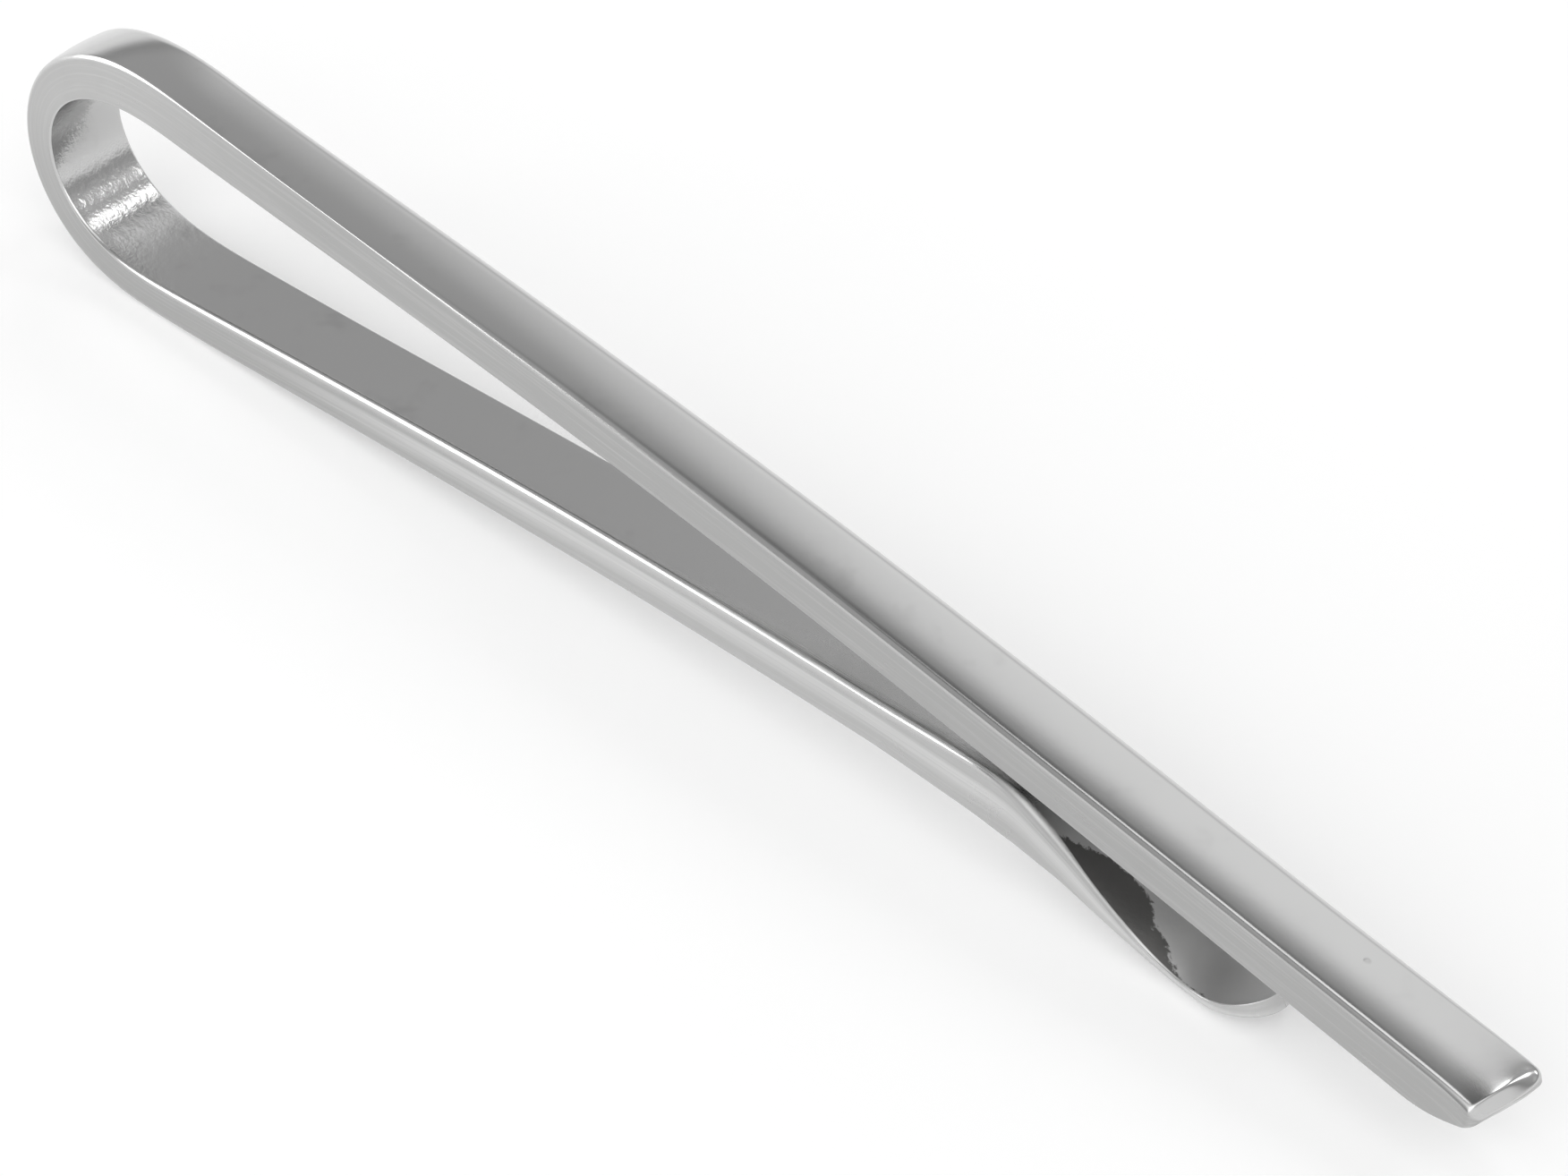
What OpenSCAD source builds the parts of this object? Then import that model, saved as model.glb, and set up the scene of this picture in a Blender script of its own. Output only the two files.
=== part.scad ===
// Spring tie clip: one flat-backed strip of polished metal folded into a hairpin.
// A long front bar runs into a bow, and a spring leg comes back under the bar to a grip crest and a toe.
// Lengths are in millimetres. The clip stands on its bow and its toe, with the bar's outer face up.

/* [Strip] */
// width of the strip's flat inner face
face_width = 2.68; // [2:0.02:5]
// thickness of the strip at the middle of its crowned outer face, in the bar and the bow
strip_thickness = 1.25; // [0.9:0.05:1.8]
// height of the outer face's crown over its rounded edges
crown_height = 0.05; // [0.03:0.01:0.25]
// rounding of the strip's two outer edges
edge_radius = 0.3; // [0.1:0.05:0.4]
// lean of the strip's sides towards the outer face, in degrees
side_lean = 7.5; // [0:0.5:12]

/* [Front bar] */
// length of the bar between its root and its tip, along the inner face
bar_length = 41.4; // [30:0.2:60]
// length of the bar's root, which flexes with the bow
bar_root_length = 8; // [4:0.5:12]
// radius of the bar's gentle arch, at the inner face
bar_arch_radius = 385; // [250:5:800]

/* [Bar tip] */
// length of the tip's upswept underside
prow_length = 3.6; // [2.4:0.1:6]
// thickness left at the very end of the tip
tip_thickness = 0.5; // [0.3:0.05:0.8]
// radius of the tip's gently rounded end, seen from above
tip_end_radius = 4; // [2:0.1:12]

/* [Bow] */
// inner radius of the bow where it leaves the bar
bow_top_radius = 9.9; // [7:0.1:12]
// bend of the bow's top, in degrees
bow_top_angle = 32; // [26:1:38]
// inner radius of the bow's tight back
bow_back_radius = 2.8; // [2:0.1:3.5]
// bend of the bow's back, in degrees
bow_back_angle = 108; // [102:1:114]
// inner radius of the bow where it runs into the leg
bow_bottom_radius = 4.4; // [3.5:0.1:6]

/* [Spring leg] */
// length of the leg from the bow to the grip crest, along the inner face
leg_length = 40; // [28:0.5:48]
// radius of the leg's gentle arch, at the inner face
leg_arch_radius = 360; // [250:5:800]

/* [Grip crest] */
// radius of the crest that presses the cloth on the bar
crest_radius = 4.1; // [3:0.1:7]
// bend of the crest, in degrees
crest_angle = 29; // [24:1:36]
// thickness of the leg at the crest
crest_thickness = 1.6; // [1.25:0.05:2]
// clearance between the closed crest and the bar
crest_gap = 0.08; // [0.04:0.01:0.2]

/* [Toe] */
// length of the toe that leads the cloth in
toe_length = 6.2; // [4:0.1:8]
// thickness at the toe's end
toe_thickness = 0.65; // [0.4:0.05:1]
// radius of the toe's rounded end, seen from above
toe_end_radius = 1.6; // [1.5:0.05:2.4]

/* [Hidden] */

// facets of a full turn: for the strip's own section, for tight bends and for the long arches
section_facets = 64;
bend_facets = 180;
arch_facets = 2880;
// length by which a cutting shape runs past what it cuts
overrun = 0.5;

// the strip's section, with x outwards from the inner face and y across the strip
half_face = face_width / 2;
mid_half_width = half_face - strip_thickness * tan(side_lean);
crown_radius = (mid_half_width * mid_half_width + crown_height * crown_height) / (2 * crown_height);
crown_x = strip_thickness - crown_radius;
side_dir = [cos(side_lean), -sin(side_lean)];
side_in = [-sin(side_lean), -cos(side_lean)];
corner_from = [edge_radius * side_in[0] - crown_x, half_face + edge_radius * side_in[1]];
corner_along = corner_from * side_dir;
corner_reach = crown_radius - edge_radius;
corner_run = sqrt(corner_along * corner_along - corner_from * corner_from + corner_reach * corner_reach) - corner_along;
corner_at = corner_from + corner_run * side_dir + [crown_x, 0];
side_end = corner_at - edge_radius * side_in;
crown_dir = (corner_at - [crown_x, 0]) / corner_reach;
crown_past = [crown_x, 0] + (crown_radius + overrun) * crown_dir;

// a station on the inner face: x, z and the heading, with the strip's outer side on the right of the heading
function turn_left(at, radius, angle) =
    let (centre = centre_left(at, radius), heading = at[2] + angle)
    [centre[0] + radius * sin(heading), centre[1] - radius * cos(heading), heading];
function turn_right(at, radius, angle) =
    let (centre = centre_right(at, radius), heading = at[2] - angle)
    [centre[0] - radius * sin(heading), centre[1] + radius * cos(heading), heading];
function centre_left(at, radius) = [at[0] - radius * sin(at[2]), at[1] + radius * cos(at[2])];
function centre_right(at, radius) = [at[0] + radius * sin(at[2]), at[1] - radius * cos(at[2])];
function go_ahead(at, length) = [at[0] + length * cos(at[2]), at[1] + length * sin(at[2]), at[2]];
function go_outward(at, length) = [at[0] + length * sin(at[2]), at[1] - length * cos(at[2]), at[2]];
function arc_angle(length, radius) = length / radius * 180 / PI;
function point_of(at) = [at[0], at[1]];
function bearing(way) = atan2(way[1], way[0]);

// the bar and the bow as far as the bottom bend
top_start = [0, 0, 180];
bar_centre = centre_left(top_start, bar_arch_radius);
back_start = turn_left(top_start, bow_top_radius, bow_top_angle);
bottom_start = turn_left(back_start, bow_back_radius, bow_back_angle);
bottom_centre = centre_left(bottom_start, bow_bottom_radius);

// the bottom bend closes the clip: it is as large as brings the crest up to the bar
leg_angle = arc_angle(leg_length, leg_arch_radius);
flat_crest = turn_right(bottom_start, leg_arch_radius, leg_angle);
crest_way = centre_right(flat_crest, crest_radius) - bottom_centre;
bar_way = bar_centre - bottom_centre;
closed_reach = bar_arch_radius - crest_radius - crest_gap;
closed_cosine = (crest_way * crest_way + bar_way * bar_way - closed_reach * closed_reach) / (2 * norm(crest_way) * norm(bar_way));
bow_bottom_angle = (bearing(bar_way) + acos(closed_cosine) - bearing(crest_way) + 360) % 360;

leg_start = turn_left(bottom_start, bow_bottom_radius, bow_bottom_angle);
leg_centre = centre_right(leg_start, leg_arch_radius);
crest_start = turn_right(leg_start, leg_arch_radius, leg_angle);
crest_centre = centre_right(crest_start, crest_radius);
toe_start = turn_right(crest_start, crest_radius, crest_angle);
toe_end = go_ahead(toe_start, toe_length);

// the leg grows thicker to the crest and the toe grows thinner to its end
leg_growth = crest_thickness - strip_thickness;
leg_taper = asin(leg_growth / leg_length);
toe_taper = atan((crest_thickness - toe_thickness) / toe_length);

// the bar's stretches, as angles on its arch
root_angle = arc_angle(bar_root_length, bar_arch_radius);
bar_angle = arc_angle(bar_length, bar_arch_radius);
prow_angle = arc_angle(prow_length, bar_arch_radius);
bar_end = turn_right([0, 0, 0], bar_arch_radius, root_angle + bar_angle);
tip_end = turn_right([0, 0, 0], bar_arch_radius, root_angle + bar_angle + prow_angle);
prow_rise = strip_thickness - tip_thickness;
prow_radius = (prow_length * prow_length + prow_rise * prow_rise) / (2 * prow_rise);

// the rest pose: the line under the bow and the toe is the table
bottom_radius = bow_bottom_radius + strip_thickness;
toe_foot = point_of(go_outward(toe_end, toe_thickness));
foot_way = toe_foot - bottom_centre;
rest_tilt = bearing(foot_way) + asin(bottom_radius / norm(foot_way));
function tilted(at) = [at[0] * cos(rest_tilt) + at[1] * sin(rest_tilt), at[1] * cos(rest_tilt) - at[0] * sin(rest_tilt)];
back_centre = centre_left(back_start, bow_back_radius);
low_x = tilted(back_centre)[0] - bow_back_radius - strip_thickness;
tip_top = [tip_end[0] - strip_thickness * sin(tip_end[2]), tip_end[1] + strip_thickness * cos(tip_end[2])];
high_x = tilted(tip_top)[0];
low_z = tilted(bottom_centre)[1] - bottom_radius;

// the strip's section; extra is what a thicker stretch adds at its inner side
module section(extra = 0) {
    grow = extra * tan(side_lean);
    translate([extra, 0]) intersection() {
        translate([crown_x, 0]) circle(crown_radius, $fn = 4 * section_facets);
        union() {
            polygon([
                [-extra, -half_face - grow], [-extra, half_face + grow], side_end, corner_at, crown_past,
                [crown_past[0], -crown_past[1]], [corner_at[0], -corner_at[1]], [side_end[0], -side_end[1]]
            ]);
            for (side = [-1, 1]) translate([corner_at[0], side * corner_at[1]]) circle(edge_radius, $fn = section_facets);
        }
    }
}

// puts the strip's own frame, running along +X with its outer side down, at a station
module put(at) {
    translate([at[0], 0, at[1]]) rotate([0, -at[2], 0]) children();
}

// a bend whose inner face is its hollow side, turning from angle start to angle end about its centre
module bend(centre, radius, start, end, facets) {
    translate([centre[0], 0, centre[1]]) rotate([90, 0, 0]) rotate([0, 0, start])
        rotate_extrude(angle = end - start, $fn = facets) translate([radius, 0]) section();
}

// a bend whose inner face is its crowned side
module back_bend(centre, radius, start, end, extra, facets) {
    translate([centre[0], 0, centre[1]]) rotate([90, 0, 0]) rotate([0, 0, start])
        rotate_extrude(angle = end - start, $fn = facets) translate([radius, 0]) mirror([1, 0]) section(extra);
}

// a disc across the strip, about a centre in the side view
module disc(centre, radius, facets) {
    translate([centre[0], 0, centre[1]]) rotate([90, 0, 0])
        cylinder(r = radius, h = face_width + 2 * overrun, center = true, $fn = facets);
}

// a slice of the side view between two angles about a centre
module slice(centre, radius, start, end) {
    reach = radius / cos((end - start) / 2);
    translate([centre[0], 0, centre[1]]) rotate([90, 0, 0])
        linear_extrude(face_width + 2 * overrun, center = true)
            polygon([[0, 0], reach * [cos(start), sin(start)], reach * [cos(end), sin(end)]]);
}

// a plan outline with a round far end, wider than the strip and deeper too
module round_plan(length, radius) {
    translate([0, 0, -crest_thickness - overrun]) linear_extrude(crest_thickness + strip_thickness + 2 * overrun) union() {
        translate([-2 * radius, -radius]) square([length + radius, 2 * radius]);
        translate([length - radius, 0]) circle(radius, $fn = bend_facets);
    }
}

module placed() {
    translate([-(low_x + high_x) / 2, 0, -low_z]) rotate([0, rest_tilt, 0]) children();
}

module bar_tip() color("silver") placed() intersection() {
    bend(bar_centre, bar_arch_radius, tip_end[2] + 90, bar_end[2] + 90, arch_facets);
    disc(centre_left(bar_end, prow_radius), prow_radius, 4 * bend_facets);
    translate([bar_end[0], 0, bar_end[1]]) rotate([0, -tip_end[2], 0])
        round_plan(norm(point_of(tip_end) - point_of(bar_end)), tip_end_radius);
}

module front_bar() color("gainsboro") placed()
    bend(bar_centre, bar_arch_radius, bar_end[2] + 90, 90 - root_angle, arch_facets);

module bar_root() color("lightgray") placed()
    bend(bar_centre, bar_arch_radius, 90 - root_angle, 90, arch_facets);

module bow_top() color("lightsteelblue") placed()
    bend(centre_left(top_start, bow_top_radius), bow_top_radius, 90, back_start[2] - 90, bend_facets);

module bow_back() color("slategray") placed()
    bend(back_centre, bow_back_radius, back_start[2] - 90, bottom_start[2] - 90, bend_facets);

module bow_bottom() color("lightslategray") placed()
    bend(bottom_centre, bow_bottom_radius, bottom_start[2] - 90, leg_start[2] - 90, bend_facets);

module spring_leg() color("darkgray") placed() intersection() {
    outer = go_outward(leg_start, strip_thickness);
    outer_centre = centre_right(leg_start, leg_arch_radius) - point_of(outer);
    past = arc_angle(overrun, leg_arch_radius);
    translate([outer[0], 0, outer[1]]) rotate([0, leg_taper, 0])
        back_bend(outer_centre, leg_arch_radius + leg_growth + overrun, crest_start[2] + 90 - past, leg_start[2] + 90 + past,
            leg_growth + overrun, arch_facets);
    disc(leg_centre, leg_arch_radius, arch_facets);
    slice(leg_centre, leg_arch_radius + overrun, crest_start[2] + 90, leg_start[2] + 90);
}

module grip_crest() color("dimgray") placed()
    back_bend(crest_centre, crest_radius, toe_start[2] + 90, crest_start[2] + 90, leg_growth, bend_facets);

module toe() color("gray") placed() intersection() {
    put(go_outward(toe_start, crest_thickness)) rotate([0, -toe_taper, 0]) translate([-overrun, 0, crest_thickness])
        rotate([0, 90, 0]) linear_extrude(toe_length + 2 * overrun) section(leg_growth);
    put(toe_start) round_plan(toe_length, toe_end_radius);
    put(toe_start) translate([0, -face_width, -2 * crest_thickness]) cube([toe_length, 2 * face_width, 2 * crest_thickness]);
}

bar_tip();
front_bar();
bar_root();
bow_top();
bow_back();
bow_bottom();
spring_leg();
grip_crest();
toe();
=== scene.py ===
"""Dresses the spring tie clip: one strip of polished metal, folded into a hairpin, on a pale studio floor."""

import logging
from dataclasses import dataclass, field
from enum import Enum
from math import cos, pi, radians, sin
from typing import Any, Union

import bpy
import numpy as np
from mathutils import Matrix, Vector


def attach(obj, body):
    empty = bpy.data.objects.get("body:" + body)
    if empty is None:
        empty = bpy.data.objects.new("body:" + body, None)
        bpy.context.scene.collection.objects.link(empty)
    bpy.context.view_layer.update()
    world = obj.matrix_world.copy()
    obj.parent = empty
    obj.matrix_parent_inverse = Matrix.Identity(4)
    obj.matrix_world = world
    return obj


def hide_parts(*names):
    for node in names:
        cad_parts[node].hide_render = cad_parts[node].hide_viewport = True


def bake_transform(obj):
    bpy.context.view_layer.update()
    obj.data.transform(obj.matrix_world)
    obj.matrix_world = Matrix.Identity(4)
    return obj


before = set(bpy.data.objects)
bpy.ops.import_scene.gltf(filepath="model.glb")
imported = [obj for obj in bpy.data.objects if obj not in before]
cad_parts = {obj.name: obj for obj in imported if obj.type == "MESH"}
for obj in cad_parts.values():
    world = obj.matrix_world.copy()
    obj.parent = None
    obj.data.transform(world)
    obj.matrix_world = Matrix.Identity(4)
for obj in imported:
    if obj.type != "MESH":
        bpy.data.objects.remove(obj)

log = logging.getLogger("tie_clip")
MM = 0.001
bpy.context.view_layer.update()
Span = tuple[float, float]
Knots = tuple[Span, ...]
Colour = tuple[float, float, float, float]
WHITE: Colour = (1.0, 1.0, 1.0, 1.0)
# What every point of a mesh carries for the finish: its places along and across the strip, face and height.
CARRIED = ("along", "across", "face", "height")


class Face(Enum):
    """The faces of the strip, as numbers that a mesh carries for its finish."""

    INNER = 0.0
    FLANK = 1.0
    OUTER = 2.0


class Arm(Enum):
    """The three pieces of the strip, with the stretch of its length in mm that each one holds."""

    BAR = (-0.29, 49.3)
    BOW = (49.3, 72.8)
    LEG = (72.8, 115.6)


def along(s: np.ndarray, knots: Knots) -> np.ndarray:
    """A smooth curve through knots: a cubic between each two, with the mean slope about a knot at each end.

    Args:
        s: places along the strip, in mm.
        knots: pairs of place and value, by rising place.

    Returns:
        The value at each place, held level beyond the first and the last knot.
    """
    x, v = np.array(knots, float).T
    slope = np.diff(v) / np.diff(x)
    m = np.concatenate([[0.0], 0.5 * (slope[:-1] + slope[1:]), [0.0]])
    p = np.clip(s, x[0], x[-1])
    i = np.clip(np.searchsorted(x, p, side="right") - 1, 0, len(x) - 2)
    h = x[i + 1] - x[i]
    t = (p - x[i]) / h
    return (
        (2 * t**3 - 3 * t**2 + 1) * v[i]
        + (t**3 - 2 * t**2 + t) * h * m[i]
        + (3 * t**2 - 2 * t**3) * v[i + 1]
        + (t**3 - t**2) * h * m[i + 1]
    )


def ease(x: np.ndarray, start: float, end: float) -> np.ndarray:
    """Rises from 0 at start to 1 at end as three times the square less twice the cube."""
    t = np.clip((x - start) / (end - start), 0.0, 1.0)
    return t * t * (3 - 2 * t)


def pairs(y: np.ndarray, height: np.ndarray) -> np.ndarray:
    """Points of a section, as pairs of y and height."""
    return np.stack([y, height], -1)


@dataclass
class Course:
    """The side line of the strip's inner face, from the bar's tip round the bow to the toe, in mm.

    Its bend, one over the radius, is a straight line between knots, above 0 where the strip turns towards
    the inner face. The shifts are small departures of the inner face from that line, outwards.
    """

    tip_place: tuple[float, float] = (30.594, 1.299)
    tip_heading: float = 168.77
    reach: Span = (-0.45, 115.6)
    step: float = 0.01
    bends: Knots = (
        (-1.0, 0.0026), (41.0, 0.0026), (42.0, 0.0035), (43.0, 0.0014), (50.0, -0.0007), (52.0, -0.0132),
        (54.0, 0.0957), (56.0, 0.1443), (58.0, 0.1946), (60.0, 0.2662), (62.0, 0.3954), (64.0, 0.367),
        (66.0, 0.1594), (68.0, 0.0426), (70.0, 0.0022), (78.0, -0.0003), (88.0, -0.0031), (104.5, -0.0031),
        (106.5, -0.2996), (107.5, -0.0081), (108.7, -0.0755), (110.5, 0.1031), (114.6, 0.1457),
        (115.6, 0.1457),
    )
    shifts: Knots = (
        (0.0, 0.363), (8.0, 0.196), (17.0, 0.104), (26.0, 0.089), (35.0, 0.044), (42.0, 0.0), (115.5, 0.0),
    )
    grid: np.ndarray = field(init=False)
    heading: np.ndarray = field(init=False)
    place: np.ndarray = field(init=False)

    def __post_init__(self) -> None:
        """Adds up the bend into a heading, and the headings into places, on an even grid."""
        start, end = self.reach
        self.grid = np.linspace(start, end, int((end - start) / self.step) + 1)
        step = self.grid[1] - self.grid[0]
        knots, values = np.array(self.bends).T
        bend = np.interp(self.grid, knots, values)
        turn = np.concatenate([[0.0], np.cumsum(0.5 * (bend[1:] + bend[:-1]) * step)])
        self.heading = radians(self.tip_heading) + turn
        way = np.stack([np.cos(self.heading), np.sin(self.heading)], 1)
        walked = np.concatenate([[[0.0, 0.0]], np.cumsum(0.5 * (way[1:] + way[:-1]) * step, 0)])
        self.place = walked + np.array(self.tip_place)

    def at(self, s: np.ndarray) -> tuple[np.ndarray, np.ndarray]:
        """Gives the inner face's place and the outward direction at places along the strip.

        Args:
            s: places along the strip, in mm.

        Returns:
            Places and outward directions, each as pairs of x and z.
        """
        heading = np.interp(s, self.grid, self.heading)
        out = np.stack([np.sin(heading), -np.cos(heading)], -1)
        place = np.stack([np.interp(s, self.grid, self.place[:, k]) for k in (0, 1)], -1)
        return place + along(s, self.shifts)[..., None] * out, out


@dataclass
class Section:
    """The strip's cross-section: a flat inner face, leaning flanks, eased edges and a low crown, in mm.

    A table pairs places along the strip with a size there. Those of the tip's dip, bevel depth, softness
    and skew go by places across the strip. An edge's size says how far its rounding reaches. The inner
    left edge reaches down the flank by its size times its share, and over the inner face by its size over
    its share. The twist is in degrees.
    """

    inner_half: Knots = (
        (0.0, 1.4), (8.0, 1.377), (17.0, 1.338), (26.0, 1.31), (35.0, 1.307), (42.0, 1.319), (48.0, 1.34),
        (53.0, 1.358), (57.0, 1.376), (60.0, 1.4), (63.0, 1.43), (66.0, 1.435), (70.0, 1.385), (76.0, 1.324),
        (86.0, 1.297), (96.0, 1.354), (107.5, 1.44), (111.0, 1.43), (115.6, 1.42),
    )
    outer_half_left: Knots = (
        (0.0, 1.15), (8.0, 1.17), (17.0, 1.19), (26.0, 1.146), (35.0, 1.091), (42.0, 1.06), (48.0, 1.0),
        (53.0, 0.955), (57.0, 1.0), (60.0, 1.2), (63.0, 1.4), (66.0, 1.42), (70.0, 1.35), (76.0, 1.29),
        (86.0, 1.267), (96.0, 1.249), (107.5, 1.241), (111.0, 1.26), (115.5, 1.3),
    )
    outer_half_right: Knots = (
        (0.0, 1.24), (8.0, 1.26), (17.0, 1.28), (26.0, 1.24), (35.0, 1.18), (42.0, 1.15), (48.0, 1.1),
        (53.0, 1.06), (57.0, 1.09), (60.0, 1.18), (63.0, 1.26), (66.0, 1.3), (76.0, 1.3), (96.0, 1.26),
        (104.0, 1.24), (108.0, 1.2), (110.0, 1.06), (113.0, 1.12), (115.6, 1.2),
    )
    thickness: Knots = (
        (0.0, 1.25), (35.0, 1.25), (48.0, 1.257), (53.0, 1.309), (57.0, 1.348), (60.0, 1.41), (63.0, 1.46),
        (64.5, 1.46), (66.0, 1.41), (67.0, 1.375), (68.0, 1.378), (70.0, 1.44), (76.0, 1.54), (86.0, 1.672),
        (96.0, 1.8), (104.0, 1.92), (107.0, 2.016), (109.0, 1.558), (111.0, 1.1), (113.0, 0.853),
        (114.5, 0.603), (115.6, 0.625),
    )
    crown: Knots = ((0.0, 0.1), (50.0, 0.1), (60.0, 0.08), (67.0, 0.04), (115.5, 0.03))
    outer_left: Knots = (
        (0.0, 0.2), (4.0, 0.2), (40.0, 0.15), (44.0, 0.05), (50.0, 0.05), (55.0, 0.12), (60.0, 0.2),
        (66.0, 0.26), (72.0, 0.2), (115.6, 0.12),
    )
    outer_right: Knots = (
        (0.0, 0.2), (3.0, 0.35), (7.0, 0.5), (44.0, 0.5), (60.0, 0.3), (72.0, 0.24), (115.6, 0.12),
    )
    inner_left: Knots = (
        (0.0, 0.06), (52.0, 0.06), (62.0, 0.1), (72.0, 0.29), (100.0, 0.33), (103.0, 0.33), (105.0, 0.24),
        (107.5, 0.33), (109.5, 0.153), (111.5, 0.134), (113.0, 0.1), (115.6, 0.06),
    )
    inner_left_share: Knots = ((0.0, 1.0), (60.0, 1.0), (74.0, 1.1), (99.0, 1.1), (104.0, 1.0), (115.6, 1.0))
    inner_right: Knots = ((0.0, 0.06), (60.0, 0.08), (115.5, 0.08))
    twist: Knots = ((100.0, 0.0), (105.0, -6.45), (107.5, -0.23), (110.0, 4.6), (113.0, 17.0), (115.6, 4.2))
    tip_sweep: float = 2.6
    tip_rise: float = 0.76
    tip_corner: float = 0.3
    tip_dip: Knots = ((-1.2, 0.06), (0.0, 0.04), (0.6, 0.01), (1.2, 0.0))
    tip_dip_reach: float = 1.9
    tip_bevel: float = 0.3
    tip_depth: Knots = ((-1.2, 0.3), (0.3, 0.3), (0.8, 0.22), (1.25, 0.08))
    tip_soft: Knots = ((-1.2, 0.1), (0.1, 0.12), (0.7, 0.5), (1.2, 0.6))
    tip_fade: Span = (0.6, 2.0)
    tip_skew: Knots = ((-1.5, 0.27), (0.0, 0.07), (0.6, 0.0), (1.5, 0.0))
    tip_skew_reach: float = 2.5
    toe_round: float = 1.75
    toe_last: float = 0.99985
    ends: Span = (-0.29, 115.6)
    edge_most: float = 0.45
    edge_full: float = 0.9
    edge_steps: int = 8
    flank_steps: int = 6
    crown_steps: int = 24
    inner_steps: int = 10

    def _edge(self, first: np.ndarray, corner: np.ndarray, last: np.ndarray) -> np.ndarray:
        """Rounds a corner with a parabola.

        With k from 0 to 1 the point is (1-k) squared times the first, twice k(1-k) times the corner, and
        k squared times the last. It leaves the first point towards the corner and reaches the last point
        coming from it.

        Args:
            first: where the rounding starts, as pairs of y and height, one for each place along the strip.
            corner: the corner that it rounds.
            last: where the rounding ends.

        Returns:
            The points of the rounding, one row of points for each place.
        """
        k = np.linspace(0.0, 1.0, self.edge_steps + 1)[None, :, None]
        return (1 - k) ** 2 * first[:, None] + 2 * k * (1 - k) * corner[:, None] + k**2 * last[:, None]

    def _flat(
        self,
        before: np.ndarray,
        corner: np.ndarray,
        after: np.ndarray,
        size: np.ndarray,
        share: Union[float, np.ndarray],
    ) -> np.ndarray:
        """Rounds the corner between two straight sides.

        Args:
            before: a point on the side before the corner.
            corner: the corner.
            after: a point on the side after it.
            size: the reach of the rounding.
            share: its reach before the corner is the size times this, and after it the size over this.

        Returns:
            The points of the rounding.
        """
        towards = (before - corner) / np.linalg.norm(before - corner, axis=-1, keepdims=True)
        away = (after - corner) / np.linalg.norm(after - corner, axis=-1, keepdims=True)
        return self._edge(
            corner + (size * share)[:, None] * towards, corner, corner + (size / share)[:, None] * away
        )

    def _shoulder(
        self, foot: np.ndarray, corner: np.ndarray, crown: np.ndarray, size: np.ndarray
    ) -> np.ndarray:
        """Rounds an outer corner, from the flank on to the crown.

        The crown's height falls as the square of y, so at a share q of the half width its tangent meets
        the corner's line at crown times (1-q) squared above the corner.

        Args:
            foot: the flank's other corner.
            corner: the outer corner, where the crown ends.
            crown: the crown's height over its corners.
            size: how far the rounding reaches along each side.

        Returns:
            The points of the rounding, from the flank to the crown.
        """
        half = np.abs(corner[:, 0])
        way = np.sign(corner[:, 0])
        q = 1 - size / half
        on_crown = pairs(way * q * half, corner[:, 1] + crown * (1 - q**2))
        lean = (corner - foot) / np.linalg.norm(corner - foot, axis=-1, keepdims=True)
        slope = -2 * crown * q / half * way
        gap = on_crown - corner
        share = (gap[:, 1] - slope * gap[:, 0]) / (lean[:, 1] - slope * lean[:, 0])
        meet = corner + share[:, None] * lean
        return self._edge(corner - size[:, None] * lean, meet, on_crown)

    @staticmethod
    def _fill(start: np.ndarray, end: np.ndarray, steps: int) -> np.ndarray:
        """Points evenly spaced between two points, without the two themselves."""
        k = np.linspace(0.0, 1.0, steps + 1)[None, 1:-1, None]
        return (1 - k) * start[:, None] + k * end[:, None]

    def _toe_end(self, s: np.ndarray) -> np.ndarray:
        """The quarter ellipse that narrows the toe's end, as a share of the width: 1 up to its rounding."""
        nearing = (s - (self.ends[1] - self.toe_round)) / self.toe_round
        return np.sqrt(1 - np.clip(nearing, 0, self.toe_last) ** 2)

    def _half(self, s: np.ndarray, table: Knots) -> np.ndarray:
        """A half width from its table, drawn in by a quarter circle at the tip and by the toe's end."""
        left = np.clip(1 - (s - self.ends[0]) / self.tip_corner, 0, 1)
        return (along(s, table) - self.tip_corner * (1 - np.sqrt(1 - left**2))) * self._toe_end(s)

    def loops(self, s: np.ndarray) -> tuple[np.ndarray, np.ndarray]:
        """Works out the closed outline of the section at each place.

        The outline goes from the inner face's right edge up the right flank, over the crown, down the
        left flank and back along the inner face. Height is measured outwards from the inner face. Towards
        the tip's end the inner face sweeps outwards as the square of the distance, and the bevel takes
        the outer face down by its depth times the share of the height. An edge's size is at most a set
        share of the height, and shrinks with a narrow end. Last, the whole outline turns by the twist
        about the middle of the inner face.

        Args:
            s: places along the strip, in mm.

        Returns:
            The points as rows of pairs of y and height, and the number of the face that each point lies on.
        """
        gone = s - self.ends[0]
        top = along(s, self.thickness)
        low = self.tip_rise * np.clip(1 - gone / self.tip_sweep, 0, 1) ** 2
        crown = along(s, self.crown) * self._toe_end(s)
        inner_right, inner_left = (pairs(side * self._half(s, self.inner_half), low) for side in (1, -1))
        outer_right = pairs(self._half(s, self.outer_half_right), top)
        outer_left = pairs(-self._half(s, self.outer_half_left), top)
        narrow = np.minimum(1.0, -outer_left[:, 0] / self.edge_full)
        tables = (self.inner_right, self.outer_right, self.outer_left, self.inner_left)
        size = [np.minimum(along(s, table) * narrow, self.edge_most * (top - low)) for table in tables]
        edges = (
            self._flat(inner_left, inner_right, outer_right, size[0], 1.0),
            self._shoulder(inner_right, outer_right, crown, size[1]),
            self._shoulder(inner_left, outer_left, crown, size[2])[:, ::-1],
            self._flat(outer_left, inner_left, inner_right, size[3], along(s, self.inner_left_share)),
        )
        faces = (Face.FLANK, Face.OUTER, Face.FLANK, Face.INNER)
        steps = (self.flank_steps, self.crown_steps, self.flank_steps, self.inner_steps)
        parts, marks = [], []
        for i, face in enumerate(faces):
            run = self._fill(edges[i][:, -1], edges[(i + 1) % 4][:, 0], steps[i])
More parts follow.
